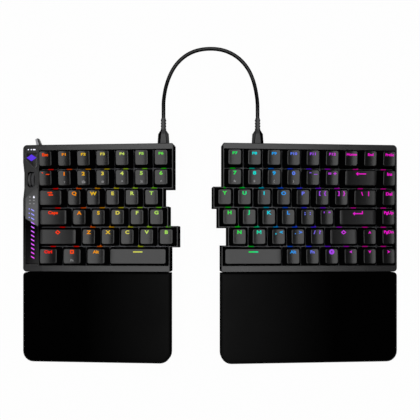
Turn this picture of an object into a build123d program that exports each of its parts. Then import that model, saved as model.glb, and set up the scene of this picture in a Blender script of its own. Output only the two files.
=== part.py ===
from build123d import *
from math import cos, radians, sin, tan
import os

# Ergonomic split keyboard: two tented halves with a palm rest each, joined by a short cable.
# Millimetres, +Z up, +Y to the rear. The origin is on the desk under the middle of the keyboard.
# Each half is drawn lying flat: x runs inwards from its outer edge, z up from the flat desk.
# place() then raises its inner side by the tent angle and puts it on its side of the middle.

# Whole keyboard
tent_angle = 5.0
middle_clearance = 1.424
longest_row = 9.5
rear_allowance = 5.684
key_pitch = 19.05
row_count = 6
rear_rim = 5.5
front_rim = 6.0
palm_depth = 88.7
palm_gap = 0.3
left_strip = 16.4
right_margin = 1.7
side_wall = 0.9
overrun = 1.0
fit = 0.1

# Case heights above the flat desk
underside = 0.9
floor_thickness = 1.4
split_height = 5.0
rim_height = 19.0
rim_chamfer = 0.5
case_corner = 4.0
small_corner = 1.5
front_corner = 3.5
inner_wall = 1.2
waist_depth = 1.2
waist_length = 15.0
waist_slope = 11.0
waist_from_rear = 28.0

# Switch plate, board and damping sheet
plate_top = 11.3
plate_thickness = 1.5
board_depth = 5.0
board_thickness = 1.6
board_gap = 0.2

# Switches and stabilisers
switch_body = 13.9
switch_flange = 15.6
switch_crown = 11.2
switch_rise = 6.6
slider_length = 6.6
slider_width = 5.0
slider_play = 0.1
slider_floor = 1.0
key_travel = 3.5
travel_spare = 0.3
stabiliser_length = 6.6
stabiliser_width = 12.4
stabiliser_rise = 5.0
stabiliser_stem = 4.0
short_stem_offset = 11.94
long_stem_offset = 19.05
wide_key = 2.0
long_key = 3.0
space_bar_units = 3.08

# Keycaps
cap_gap = 0.95
cap_skirt = 17.6
cap_side_lean = 2.85
long_cap_side_lean = 1.5
cap_end_lean = 1.75
cap_corner = 0.9
cap_wall = 1.4
cap_roof = 1.7
cap_dish = 0.5
row_heights = (28.4, 28.2, 27.0, 26.2, 26.4, 26.6)
row_tilts = (5.0, 5.0, 2.5, 0.0, -2.5, -2.5)

# Control strip along the left outer edge
panel_margin = 2.6
panel_thickness = 1.0
panel_end_gap = 6.0
panel_corner = 1.5
wheel_radius = 7.2
wheel_width = 6.2
wheel_proud = 1.3
wheel_edge = 0.8
wheel_play = 0.5
wheel_x = 8.4
wheel_from_rear = 34.4
wheel_ribs = 24
wheel_groove = 0.5
wheel_axle = 1.5
wheel_axle_length = 1.4
emblem_from_rear = 14.6
emblem_size = 8.0
indicator_from_rear = 5.8
indicator_size = 1.3
indicator_pitch = 3.0
indicator_bar = 2.9
bar_count = 12
bar_pitch = 4.25
bar_length = 4.2
bar_width = 1.6
bar_slant = 2.2
bar_x = 10.5
bar_from_rear = 65.0
marker_count = 3
marker_size = 1.5
marker_gap = 2.6

# Mode toggle in the rear wall
toggle_x = 15.3
toggle_height = 12.0
toggle_thickness = 3.4
toggle_hub = 3.0
toggle_inset = 2.6
toggle_length = 10.2
toggle_root = 2.8
toggle_tip = 1.7
toggle_lean = 18.0
toggle_slot = 4.4

# USB-C receptacles, link plugs and cable
port_width = 8.94
port_height = 3.26
port_wall = 0.3
port_depth = 7.0
port_inset = 0.3
left_link_x = 139.4
right_link_x = 138.3
host_port_x = 64.0
tongue_play = 0.08
tongue_depth = 5.6
plug_gap = 0.3
plug_width = 11.5
plug_height = 6.4
plug_edge = 1.5
plug_body = 10.35
shoulder_width = 10.4
shoulder_edge = 2.5
shoulder_length = 4.1
plug_neck = 4.8
neck_edge = 1.0
relief_length = 11.5
relief_width = 5.4
relief_groove = 0.5
relief_spine = 2.6
relief_ribs = 4
cable_diameter = 3.8
cable_share = 0.45
cable_lead = 10.0

# Screws, pads and battery
screw_inset = 6.5
screw_inner_inset = 3.6
screw_shank = 2.0
screw_head = 3.6
screw_head_height = 1.3
screw_top = 12.0
screw_sink = 0.2
screw_drive = 1.6
pad_margin = 1.6
pad_width = 5.0
pad_length = 24.0
pad_inset = 14.0
pad_height = 2.0
pad_corner = 0.8
inner_pad_height = 0.8
inner_pad_length = 18.0
battery_size = (80.0, 34.0)
battery_thickness = 2.2
battery_x = 28.0

# Tent feet
foot_inset = 13.0
foot_width = 24.0
foot_thickness = 2.6
foot_pivot_height = 2.3
foot_pin = 1.0
foot_pin_length = 1.6
foot_play = 0.3
foot_window_share = 0.45
foot_sole = 1.1
foot_sole_lip = 0.9
pocket_rise = 3.0
boss_wall = 2.4

# Palm rests
palm_base_height = 6.0
palm_side_inset = 1.0
palm_front_corner = 9.0
palm_rear_corner = 3.5
cushion_clearance = 0.15
cushion_hem = 0.6
cushion_crown = 0.5
cushion_turn = 1.8
cushion_edge = (0.9, 0.5)
cushion_shoulder = (3.2, -0.15)
cushion_top_inset = 9.6

# Places worked out from the sizes above
widest_half = right_margin + longest_row * key_pitch + side_wall
half_reach = widest_half * cos(radians(tent_angle)) + middle_clearance
field_depth = row_count * key_pitch
case_depth = rear_rim + field_depth + front_rim
whole_depth = case_depth + palm_gap + palm_depth
front_end = -(whole_depth + rear_allowance) / 2
palm_rear = front_end + palm_depth
case_front = palm_rear + palm_gap
case_rear = case_front + case_depth
field_front = case_front + front_rim
field_rear = case_rear - rear_rim
floor_top = underside + floor_thickness
plate_bottom = plate_top - plate_thickness
board_top = plate_top - board_depth
board_bottom = board_top - board_thickness
port_centre = board_top + port_height / 2

# Key rows from rear to front, each from the outer edge inwards: (group, width in key units)
left_rows = (
    [("esc_key", 1)] + [("left_function_keys", 1)] * 6,
    [("left_number_keys", 1)] * 7,
    [("tab_key", 1.5)] + [("left_upper_letter_keys", 1)] * 5,
    [("caps_lock_key", 1.75)] + [("left_home_letter_keys", 1)] * 5,
    [("left_shift_key", 2.25)] + [("left_lower_letter_keys", 1)] * 5,
    [("left_modifier_keys", 1.25)] * 3 + [("left_space_bar", space_bar_units)],
)
right_rows = (
    [("navigation_keys", 1)] * 3 + [("right_function_keys", 1)] * 6,
    [("navigation_keys", 1), ("backspace_key", 2)] + [("right_number_keys", 1)] * 6,
    [("navigation_keys", 1), ("backslash_key", 1.5)] + [("right_upper_letter_keys", 1)] * 7,
    [("navigation_keys", 1), ("enter_key", 2.25)] + [("right_home_letter_keys", 1)] * 6,
    [("navigation_keys", 1), ("arrow_keys", 1), ("right_shift_key", 1.75)]
    + [("right_lower_letter_keys", 1)] * 5,
    [("arrow_keys", 1)] * 3
    + [("right_modifier_keys", 1)] * 3
    + [("right_space_bar", space_bar_units)],
)
sides = {"left": (left_rows, left_strip), "right": (right_rows, right_margin)}

os.makedirs("parts", exist_ok=True)


def place(shape, side):
    # a half lies flat while it is drawn, then its inner side is raised about the outer lower edge
    raised = Pos(-half_reach, 0, 0) * Rot(0, -tent_angle, 0) * shape
    if side == "right":
        raised = raised.mirror(Plane.YZ)
    return raised


def place_point(x, height, side):
    lean = radians(tent_angle)
    across = -half_reach + x * cos(lean) - height * sin(lean)
    up = x * sin(lean) + height * cos(lean)
    return (across if side == "left" else -across, up)


def save(name, *shapes):
    solids = [solid for shape in shapes for solid in shape.solids()]
    export_step(solids[0] if len(solids) == 1 else Compound(children=solids), f"parts/{name}.step")


def prism(face, low, high):
    return extrude(Pos(0, 0, low) * face, high - low)


def block(x_low, x_high, y_low, y_high, z_low, z_high):
    face = Pos((x_low + x_high) / 2, (y_low + y_high) / 2) * Rectangle(x_high - x_low, y_high - y_low)
    return prism(face, z_low, z_high)


def row_width(row):
    return sum(width for _, width in row) * key_pitch


def row_centre(number):
    return field_rear - (number + 0.5) * key_pitch


def keys_of(side):
    # every key of a half: its group, row, centre and width in key units
    rows, margin = sides[side]
    for number, row in enumerate(rows):
        x = margin
        for group, width in row:
            yield group, number, (x + width * key_pitch / 2, row_centre(number)), width
            x += width * key_pitch


# Outlines of a half
def key_field(side):
    rows, margin = sides[side]
    corners = [(margin, field_rear)]
    for number, row in enumerate(rows):
        edge = margin + row_width(row)
        if number == 0 or edge != corners[-1][0]:
            corners.append((edge, field_rear - number * key_pitch))
            corners.append((edge, 0))
        corners[-1] = (edge, field_rear - (number + 1) * key_pitch)
    corners.append((margin, field_front))
    return make_face(Polyline(*corners, close=True))


def resized(face, amount):
    return offset(face, amount, kind=Kind.INTERSECTION)


def inner_end(side, number):
    rows, margin = sides[side]
    return margin + row_width(rows[number]) + side_wall


def case_outline(side):
    rear_end = inner_end(side, 0)
    front_row_end = inner_end(side, row_count - 1)
    margin = sides[side][1]
    outline = resized(key_field(side), side_wall)
    outline += Pos(rear_end / 2, case_rear - rear_rim / 2) * Rectangle(rear_end, rear_rim)
    front_depth = front_rim + key_pitch
    outline += Pos(front_row_end / 2, case_front + front_depth / 2) * Rectangle(front_row_end, front_depth)
    outline += Pos(margin / 2, case_front + case_depth / 2) * Rectangle(margin, case_depth)
    if side == "left":
        waist_rear = case_rear - waist_from_rear
        waist_front = waist_rear - waist_length
        outline -= make_face(
            Polyline(
                (0, waist_rear + waist_slope),
                (waist_depth, waist_rear),
                (waist_depth, waist_front),
                (0, waist_front - waist_slope),
                close=True,
            )
        )
    outline = rounded(outline, (0, case_rear), case_corner)
    outline = rounded(outline, (0, case_front), front_corner)
    for corner in ((rear_end, case_rear), (front_row_end, case_front)):
        outline = rounded(outline, corner, small_corner)
    return outline


def rounded(outline, corner, radius):
    nearest = outline.vertices().sort_by_distance(Vector(*corner, 0))[0]
    return fillet(nearest, radius)


# Screws, one near each end and one in the middle of the rear and front rims
def screw_places(side):
    for y, number in ((case_rear - rear_rim / 2, 0), (case_front + front_rim / 2, row_count - 1)):
        last = inner_end(side, number) - screw_inner_inset
        for x in (screw_inset, (screw_inset + last) / 2, last):
            yield Pos(x, y, 0)


def case_screw():
    head_low = underside + screw_sink
    shank_low = head_low + screw_head_height
    screw = prism(Circle(screw_head / 2), head_low, shank_low)
    screw += prism(Circle(screw_shank / 2), shank_low, screw_top)
    drive = RegularPolygon(screw_drive / 2, 6)
    return screw - prism(drive, head_low - overrun, head_low + screw_head_height / 2)


def screw_hole():
    head_roof = underside + screw_sink + screw_head_height
    hole = prism(Circle(screw_head / 2 + fit), underside - overrun, head_roof)
    return hole + prism(Circle(screw_shank / 2 + fit), head_roof, screw_top + fit)


# Tent feet: a leg that folds up under the half about a pin near its inner edge
def foot_places(side):
    x = inner_end(side, row_count - 1) - foot_inset
    yield "rear", x, row_centre(1)
    yield "front", x, row_centre(row_count - 2)
    yield "palm", x, palm_rear - palm_depth / 2


def foot_length(x):
    return x * tan(radians(tent_angle)) + foot_pivot_height


def foot_pocket(x, y):
    # from the fold's far end to just past the pin, as deep as the folded leg
    low = x - foot_length(x) - foot_sole
    high = x + foot_thickness / 2 + foot_play
    half = foot_width / 2 + foot_play
    return block(low, high, y - half, y + half, underside - overrun, underside + pocket_rise)


def foot_boss(x, y):
    low = x - foot_length(x) - foot_sole - boss_wall
    high = x + foot_thickness / 2 + foot_play + boss_wall
    half = foot_width / 2 + foot_play + boss_wall
    return block(low, high, y - half, y + half, floor_top, board_bottom)


def foot_pin_hole(x, y):
    half = foot_width / 2 + foot_pin_length + foot_play
    pin = Cylinder(foot_pin + slider_play / 2, 2 * half, rotation=(90, 0, 0))
    return Pos(x, y, foot_pivot_height) * pin


def tent_foot(x, y, side):
    length = foot_length(x) + overrun
    leg = Pos(x, y, foot_pivot_height - length / 2) * Box(foot_thickness, foot_width, length)
    sole_height = foot_sole + overrun
    sole = Pos(x + foot_sole_lip / 2, y, foot_pivot_height - length + sole_height / 2)
    leg += sole * Box(foot_thickness + foot_sole_lip, foot_width, sole_height)
    window_height = foot_length(x) * foot_window_share
    window = Box(foot_thickness + overrun, foot_width * foot_window_share, window_height)
    leg -= Pos(x, y, foot_pivot_height - foot_length(x) / 2) * window
    round_head = Cylinder(foot_thickness / 2, foot_width, rotation=(90, 0, 0))
    pin = Cylinder(foot_pin, foot_width + 2 * foot_pin_length, rotation=(90, 0, 0))
    leg += Pos(x, y, foot_pivot_height) * (round_head + pin)
    return cut_at_desk(place(leg, side))


def cut_at_desk(shape):
    # what stands on the desk is cut level with it
    below = Pos(0, 0, -rim_height / 2) * Box(4 * half_reach, 4 * whole_depth, rim_height)
    return shape - below


# Keycaps: hollow, tapered and dished, with the slider that runs in the switch under them
def section(width, depth, corner):
    face = Rectangle(width, depth)
    return chamfer(face.vertices(), corner) if corner else face


def keycap(units, row):
    width = units * key_pitch - cap_gap
    depth = key_pitch - cap_gap
    rise = row_heights[row] - cap_skirt
    top_width = width - 2 * (long_cap_side_lean if units >= long_key else cap_side_lean)
    top_depth = depth - 2 * cap_end_lean
    top_plane = Pos(0, 0, row_heights[row]) * Rot(row_tilts[row], 0, 0)
    cap = loft(
        [
            Pos(0, 0, cap_skirt) * section(width, depth, cap_corner),
            top_plane * section(top_width, top_depth, cap_corner),
        ],
        ruled=True,
    )
    dish_radius = (top_width**2 / 4 + cap_dish**2) / (2 * cap_dish)
    dish = Cylinder(dish_radius, depth + rise, rotation=(90, 0, 0))
    cap -= top_plane * Pos(0, 0, dish_radius - cap_dish) * dish
    cavity = loft(
        [
            Pos(0, 0, cap_skirt) * section(width - 2 * cap_wall, depth - 2 * cap_wall, 0),
            top_plane * Pos(0, 0, -cap_roof) * section(top_width - cap_wall, top_depth - cap_wall, 0),
        ],
        ruled=True,
    )
    cap -= cavity
    slider_low = board_top + slider_floor + key_travel + travel_spare
    slider_high = row_heights[row] - cap_roof + cap_dish / 2
    cap += prism(Rectangle(slider_length, slider_width), slider_low, slider_high)
    for x in stem_offsets(units):
        cap += prism(Pos(x, 0) * Rectangle(stabiliser_stem, slider_width), slider_low, slider_high)
    return cap


def stem_offsets(units):
    if units < wide_key:
        return ()
    reach = long_stem_offset if units >= long_key else short_stem_offset
    return (-reach, reach)


# Switch and stabiliser housings, seated in the plate and on the board
def slider_hole(length, width, high):
    face = Rectangle(length + 2 * slider_play, width + 2 * slider_play)
    return prism(face, board_top + slider_floor, high + overrun)


def switch_housing():
    body = prism(Rectangle(switch_body, switch_body), board_top, plate_top)
    crown_height = plate_top + switch_rise
    body += loft(
        [
            Pos(0, 0, plate_top) * Rectangle(switch_flange, switch_flange),
            Pos(0, 0, crown_height) * Rectangle(switch_crown, switch_crown),
        ],
        ruled=True,
    )
    return body - slider_hole(slider_length, slider_width, crown_height)


def stabiliser_housing():
    high = plate_top + stabiliser_rise
    body = prism(Rectangle(stabiliser_length, stabiliser_width), board_top, high)
    return body - slider_hole(stabiliser_stem, slider_width, high)


# Case of one half
def bottom_case(side, outline, field):
    cavity = resized(field, -fit - inner_wall)
    case = prism(outline, underside, split_height)
    lowest = case.faces().sort_by(Axis.Z)[0]
    case = chamfer(lowest.edges(), rim_chamfer)
    case -= prism(cavity, floor_top, split_height)
    wall = resized(field, -fit) - cavity
    case += prism(wall, split_height, plate_bottom)
    for name, x, y in foot_places(side):
        if name != "palm":
            case += foot_boss(x, y)
            case -= foot_pocket(x, y) + foot_pin_hole(x, y)
    for spot in screw_places(side):
        case -= spot * screw_hole()
    for x in port_places(side):
        case -= port_opening(x, fit)
    return case


def top_frame(side, outline, field):
    frame = prism(outline, split_height, rim_height)
    highest = frame.faces().sort_by(Axis.Z)[-1]
    frame = chamfer(highest.edges(), rim_chamfer)
    frame -= prism(field, split_height - overrun, rim_height + overrun)
    for spot in screw_places(side):
        frame -= spot * screw_hole()
    for x in port_places(side):
        frame -= port_opening(x, fit)
    if side == "left":
        frame -= prism(panel_outline(fit), rim_height - panel_thickness, rim_height + overrun)
        frame -= wheel_pocket()
        frame -= toggle_pocket()
        frame -= prism(light_shapes(0), rim_height - 2 * panel_thickness, rim_height)
    return frame


def port_places(side):
    return (left_link_x, host_port_x) if side == "left" else (right_link_x,)


def port_section(shrink):
    height = port_height - 2 * shrink
    return SlotOverall(port_width - 2 * shrink, height)


def port_bar(x, shrink, y_low, y_high):
    # a bar of the receptacle's rounded section, running along Y
    bar = extrude(port_section(shrink), y_high - y_low)
    return Pos(x, y_high, port_centre) * Rot(90, 0, 0) * bar


def port_opening(x, clearance):
    return port_bar(x, -clearance, case_rear - port_inset - port_depth - fit, case_rear + overrun)


def usb_receptacle(x):
    rear = case_rear - port_inset
    shell = port_bar(x, 0, rear - port_depth, rear)
    bore = port_bar(x, port_wall, rear - port_depth + 2 * port_wall, rear + overrun)
    return shell - bore


def link_plug(x):
    # faceted moulded body, a strain relief ribbed on each side of a spine, and the metal tongue
    low = case_rear + plug_gap
    tongue = port_bar(x, port_wall + tongue_play, case_rear - tongue_depth, low)
    back = Pos(x, low, port_centre) * Rot(-90, 0, 0)
    neck = back * Pos(0, 0, plug_body + shoulder_length)
    body = loft(
        [
            back * section(plug_width, plug_height, plug_edge),
            back * Pos(0, 0, plug_body) * section(shoulder_width, plug_height, shoulder_edge),
            neck * section(plug_neck, plug_neck, neck_edge),
        ],
        ruled=True,
    )
    relief = neck * extrude(Rectangle(relief_spine, relief_width), relief_length)
    rib_pitch = relief_length / (2 * relief_ribs)
    for number in range(2 * relief_ribs):
        radius = relief_width / 2 - (relief_groove if number % 2 else 0)
        relief += neck * Pos(0, 0, number * rib_pitch) * extrude(Circle(radius), rib_pitch)
    return tongue + body + relief


# Control strip
def panel_outline(clearance):
    y_low = case_front + panel_end_gap
    y_high = case_rear - 2 * rim_chamfer
    x_low = panel_margin
    x_high = left_strip - 2 * rim_chamfer
    face = Rectangle(x_high - x_low + 2 * clearance, y_high - y_low + 2 * clearance)
    return Pos((x_low + x_high) / 2, (y_low + y_high) / 2) * fillet(face.vertices(), panel_corner)


def wheel_slot(clearance):
    width = wheel_width + 2 * wheel_play + 2 * clearance
    length = 2 * (wheel_radius + wheel_play + clearance)
    return Pos(wheel_x, case_rear - wheel_from_rear) * fillet(Rectangle(width, length).vertices(), width / 3)


def wheel_centre():
    return rim_height + wheel_proud - wheel_radius


def wheel_pocket():
    width = wheel_width + 2 * wheel_play
    length = 2 * (wheel_radius + wheel_play)
    spot = Pos(wheel_x, case_rear - wheel_from_rear)
    pocket = prism(spot * Rectangle(width, length), split_height, rim_height)
    axle = Cylinder(wheel_axle + slider_play / 2, wheel_width + 2 * wheel_axle_length, rotation=(0, 90, 0))
    return pocket + Pos(wheel_x, case_rear - wheel_from_rear, wheel_centre()) * axle


def scroll_wheel():
    wheel = Cylinder(wheel_radius, wheel_width)
    wheel = chamfer(wheel.edges(), wheel_edge)
    groove_centre = Pos(wheel_radius, 0, 0)
    groove = Cylinder(wheel_groove, wheel_width + overrun)
    for turn in range(wheel_ribs):
        wheel -= Rot(0, 0, 360 * turn / wheel_ribs) * groove_centre * groove
    wheel += Cylinder(wheel_axle, wheel_width + 2 * (wheel_axle_length - wheel_play / 2))
    return Pos(wheel_x, case_rear - wheel_from_rear, wheel_centre()) * Rot(0, 90, 0) * wheel


def emblem_shape(shrink):
    # a plain diamond
    side = emblem_size - 2 * shrink
    centre = Pos((panel_margin + left_strip) / 2, case_rear - emblem_from_rear)
    return centre * Rot(0, 0, 45) * Rectangle(side, side)


def indicator_shapes(shrink):
    y = case_rear - indicator_from_rear
    x = panel_margin + indicator_pitch
    shapes = Pos(x, y) * Circle(indicator_size / 2 - shrink)
    shapes += Pos(x + indicator_pitch, y) * Circle(indicator_size / 2 - shrink)
    bar = SlotOverall(indicator_bar - 2 * shrink, indicator_size - 2 * shrink)
    return shapes + Pos(x + 2 * indicator_pitch, y) * bar


def bar_shapes(shrink):
    shapes = []
    half = bar_length / 2 - shrink
    thick = bar_width / 2 - shrink
    for number in range(bar_count):
        y = case_rear - bar_from_rear - number * bar_pitch
        slanted = Polyline(
            (-half, bar_slant / 2 + thick),
            (half, -bar_slant / 2 + thick),
            (half, -bar_slant / 2 - thick),
            (-half, bar_slant / 2 - thick),
            close=True,
        )
        shapes.append(Pos(bar_x, y) * make_face(slanted))
        if number < marker_count:
            marker = Rectangle(marker_size - 2 * shrink, marker_size - 2 * shrink)
            x = bar_x - bar_length / 2 - marker_gap / 2
            shapes.append(Pos(x, y + bar_slant / 2) * marker)
    return Sketch() + shapes


def light_shapes(shrink):
    return indicator_shapes(shrink) + bar_shapes(shrink) + emblem_shape(shrink)


def control_panel():
    panel = prism(panel_outline(0), rim_height - panel_thickness, rim_height)
    panel -= prism(wheel_slot(0), rim_height - panel_thickness - overrun, rim_height + overrun)
    return panel - prism(light_shapes(0), rim_height - panel_thickness - overrun, rim_height + overrun)


def lens(shapes):
    return prism(shapes, rim_height - 2 * panel_thickness, rim_height)


# Mode toggle: a fin on an upright pin in the rear wall
def toggle_fin(clearance, swing):
    fin = make_face(
        Polyline(
            (-toggle_root - clearance, 0),
            (-toggle_tip - clearance, toggle_length),
            (toggle_tip + clearance, toggle_length),
            (toggle_root + clearance, 0),
            close=True,
        )
    )
    half = toggle_thickness / 2 + clearance
    fin = prism(fin + Circle(toggle_hub + clearance), -half, half)
    return Pos(toggle_x, case_rear - toggle_inset, toggle_height) * Rot(0, 0, swing) * fin


def mode_toggle():
    fin = toggle_fin(0, toggle_lean)
    outer = fin.edges().filter_by(Axis.Z).sort_by(Axis.Y)[-2:]
    return chamfer(outer, toggle_tip / 3)


def toggle_pocket():
    room = fit
    half = toggle_thickness / 2 + room
    spot = Pos(toggle_x, case_rear - toggle_inset, 0)
    hub = prism(Circle(toggle_hub + room), toggle_height - half, toggle_height + half)
    mouth = Pos(0, toggle_inset) * Rectangle(2 * toggle_slot, 2 * toggle_inset)
    return spot * (hub + prism(mouth, toggle_height - half, toggle_height + half))


# Palm rests
def palm_section(side, inset, height):
    width = inner_end(side, row_count - 1)
    face = Rectangle(width - 2 * inset, palm_depth - 2 * inset)
    corners = face.vertices().group_by(Axis.Y)
    face = fillet(corners[0], palm_front_corner - inset / 2)
    outer, inner = face.vertices().group_by(Axis.Y)[-1].sort_by(Axis.X)
    face = fillet(outer, palm_rear_corner)
    inner = face.vertices().group_by(Axis.Y)[-1].sort_by(Axis.X)[-1]
    face = fillet(inner, small_corner)
    return Pos(width / 2, palm_rear - palm_depth / 2, height) * face


def palm_base(side):
    base = extrude(palm_section(side, palm_side_inset, underside), palm_base_height - underside)
    x, y = [(x, y) for name, x, y in foot_places(side) if name == "palm"][0]
    base -= foot_pocket(x, y) + foot_pin_hole(x, y)
    base = place(base, side)
    for rear in (palm_rear - pad_inset - pad_length, front_end + pad_inset):
        base += cut_at_desk(place(outer_pad(rear, underside + fit), side))
    return base


def palm_cushion(side):
    # upright sides with a small hem below, then a tight turn into a nearly level crown
    turn = rim_height - cushion_turn
    pad = extrude(palm_section(side, cushion_clearance, palm_base_height), turn - palm_base_height)
    pad = chamfer(pad.faces().sort_by(Axis.Z)[0].edges(), cushion_hem)
    crown = loft(
        [
            palm_section(side, cushion_clearance, turn),
            palm_section(side, cushion_edge[0], rim_height - cushion_edge[1]),
            palm_section(side, cushion_shoulder[0], rim_height - cushion_shoulder[1]),
            palm_section(side, cushion_top_inset, rim_height + cushion_crown),
        ]
    )
    return pad + crown


# Pads, battery and sheets
def outer_pad(y_low, top):
    pad = block(pad_margin, pad_margin + pad_width, y_low, y_low + pad_length, underside - pad_height, top)
    return chamfer(pad.edges().filter_by(Axis.Z), pad_corner)


def case_pads(side):
    # two on the outer edge, which stand on the desk, and one between the feet for the flat position
    for y in (case_rear - pad_inset - pad_length, case_front + pad_inset):
        yield cut_at_desk(place(outer_pad(y, underside), side))
    x = inner_end(side, row_count - 1) - foot_inset - pad_width / 2
    y = (field_rear + field_front) / 2
    low = underside - inner_pad_height
    pad = block(x, x + pad_width, y - inner_pad_length / 2, y + inner_pad_length / 2, low, underside)
    yield place(chamfer(pad.edges().filter_by(Axis.Z), pad_corner), side)


def battery_block(clearance):
    length, width = battery_size
    y = (field_front + field_rear) / 2
    return block(
        battery_x - clearance,
        battery_x + length + clearance,
        y - width / 2 - clearance,
        y + width / 2 + clearance,
        floor_top,
        floor_top + battery_thickness,
    )


def damping_sheet(side, field):
    sheet = prism(resized(field, -fit - inner_wall - board_gap), floor_top, board_bottom)
    for name, x, y in foot_places(side):
        if name != "palm":
            low = x - foot_length(x) - foot_sole - boss_wall - board_gap
            high = x + foot_thickness / 2 + foot_play + boss_wall + board_gap
            half = foot_width / 2 + foot_play + boss_wall + board_gap
            sheet -= block(low, high, y - half, y + half, floor_top, board_bottom)
    if side == "left":
        sheet -= battery_block(board_gap) + Pos(0, 0, battery_thickness) * battery_block(board_gap)
    return sheet


# Link cable: straight out of each plug, down to the desk and round in one arch
def cable_route():
    def end(x, side, lead):
        across, up = place_point(x, port_centre, side)
        return (across, case_rear + plug_gap + plug_body + shoulder_length + relief_length + lead, up)

    desk = cable_diameter / 2
    return (
        end(left_link_x, "left", 0),
        end(left_link_x, "left", cable_lead),
        (-46.5, 148.2, 15.6),
        (-46.0, 158.0, 8.8),
        (-44.7, 167.6, 3.4),
        (-41.6, 177.4, desk),
        (-37.0, 186.4, desk),
        (-30.8, 194.0, desk),
        (-22.4, 200.5, desk),
        (-12.0, 204.6, desk),
        (0.6, 206.0, desk),
        (12.8, 204.7, desk),
        (23.6, 200.3, desk),
        (32.4, 193.6, desk),
        (39.2, 184.9, desk),
        (43.6, 175.4, desk),
        (46.0, 166.0, 3.6),
        (47.0, 157.0, 9.0),
        (47.4, 147.8, 15.7),
        end(right_link_x, "right", cable_lead),
        end(right_link_x, "right", 0),
    )


def link_cable():
    points = [Vector(*point) for point in cable_route()]
    runs = [b - a for a, b in zip(points, points[1:])]
    radii = []
    for before, after in zip(runs, runs[1:]):
        turn = radians(before.get_angle(after))
        radii.append(cable_share * min(before.length, after.length) / tan(turn / 2))
    print("cable radii", [round(radius, 1) for radius in radii])
    path = FilletPolyline(*points, radius=radii)
    start = Plane(path @ 0, z_dir=path % 0)
    tube = sweep(start * Circle(cable_diameter / 2), path)
    area = radians(180) * cable_diameter**2 / 4
    print("cable length", round(path.length, 1), "volume share", round(tube.volume / (area * path.length), 4))
    return tube


# Build every node
lenses = {
    "indicator_lenses": indicator_shapes,
    "light_bar_lens": bar_shapes,
    "emblem_lens": emblem_shape,
}
groups = {}
cap_shapes = {}
stabilisers = []
receptacles = []
pads = []
screws = []
switch = switch_housing()
stabiliser = stabiliser_housing()
for side in sides:
    outline = case_outline(side)
    field = key_field(side)
    plate = prism(resized(field, -fit), plate_bottom, plate_top)
    housings = []
    for group, row, (x, y), units in keys_of(side):
        if (units, row) not in cap_shapes:
            cap_shapes[units, row] = keycap(units, row)
        spot = Pos(x, y, 0)
        groups.setdefault(group, []).append(place(spot * cap_shapes[units, row], side))
        housings.append(place(spot * switch, side))
        opening = prism(Rectangle(switch_body + fit, switch_body + fit), plate_bottom, plate_top)
        plate -= spot * opening
        for reach in stem_offsets(units):
            stem_spot = spot * Pos(reach, 0, 0)
            stabilisers.append(place(stem_spot * stabiliser, side))
            slot = Rectangle(stabiliser_length + fit, stabiliser_width + fit)
            plate -= stem_spot * prism(slot, plate_bottom, plate_top)
    save(f"{side}_switch_housings", *housings)
    save(f"{side}_switch_plate", place(plate, side))
    board = resized(field, -fit - inner_wall - board_gap)
    save(f"{side}_circuit_board", place(prism(board, board_bottom, board_top), side))
    save(f"{side}_damping_sheet", place(damping_sheet(side, field), side))
    save(f"{side}_bottom_case", place(bottom_case(side, outline, field), side))
    save(f"{side}_top_frame", place(top_frame(side, outline, field), side))
    for name, x, y in foot_places(side):
        save(f"{side}_{name}_tent_foot", tent_foot(x, y, side))
    save(f"{side}_palm_rest_base", palm_base(side))
    save(f"{side}_palm_rest_cushion", place(palm_cushion(side), side))
    link_x = port_places(side)[0]
    save(f"{side}_link_plug", place(link_plug(link_x), side))
    receptacles += [place(usb_receptacle(x), side) for x in port_places(side)]
    screws += [place(spot * case_screw(), side) for spot in screw_places(side)]
    pads += list(case_pads(side))

for group, caps in groups.items():
    save(group, *caps)
save("stabiliser_housings", *stabilisers)
save("usb_c_receptacles", *receptacles)
save("case_screws", *screws)
save("case_rubber_pads", *pads)
save("battery", place(battery_block(0), "left"))
save("control_panel", place(control_panel(), "left"))
for name, shapes in lenses.items():
    save(name, place(lens(shapes(0)), "left"))
save("scroll_wheel", place(scroll_wheel(), "left"))
save("mode_toggle", place(mode_toggle(), "left"))
save("link_cable", link_cable())
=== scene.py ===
import bpy
import bmesh
from math import cos, pi, radians, sin, tan
from mathutils import Matrix, Vector


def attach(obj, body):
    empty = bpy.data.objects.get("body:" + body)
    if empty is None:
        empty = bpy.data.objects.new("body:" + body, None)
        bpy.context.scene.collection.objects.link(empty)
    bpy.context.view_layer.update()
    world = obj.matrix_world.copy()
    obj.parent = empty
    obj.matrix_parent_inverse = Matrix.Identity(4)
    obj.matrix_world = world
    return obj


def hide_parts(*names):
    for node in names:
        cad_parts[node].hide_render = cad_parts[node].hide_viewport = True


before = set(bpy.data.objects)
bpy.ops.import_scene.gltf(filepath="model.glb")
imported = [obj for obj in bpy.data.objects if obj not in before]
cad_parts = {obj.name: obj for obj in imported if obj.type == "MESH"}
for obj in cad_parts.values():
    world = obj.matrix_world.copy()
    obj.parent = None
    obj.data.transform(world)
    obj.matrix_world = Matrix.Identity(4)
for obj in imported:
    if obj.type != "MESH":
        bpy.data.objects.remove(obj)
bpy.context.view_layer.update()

# Camera. It looks straight down on the keyboard from about arm's length, a little behind its
# middle, and the picture is square.
camera_height = 0.626
camera_y = 0.0072
picture_width = 420
focal_pixels = 610.7
middle_row = 243.0
camera_data = bpy.data.cameras.new("camera")
camera_data.lens = focal_pixels / picture_width * camera_data.sensor_width
camera_data.shift_y = (middle_row - picture_width / 2) / picture_width
camera = bpy.data.objects.new("camera", camera_data)
camera.location = (0, camera_y, camera_height)
bpy.context.scene.collection.objects.link(camera)
bpy.context.scene.camera = camera
bpy.context.scene.view_settings.view_transform = "Standard"

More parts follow.
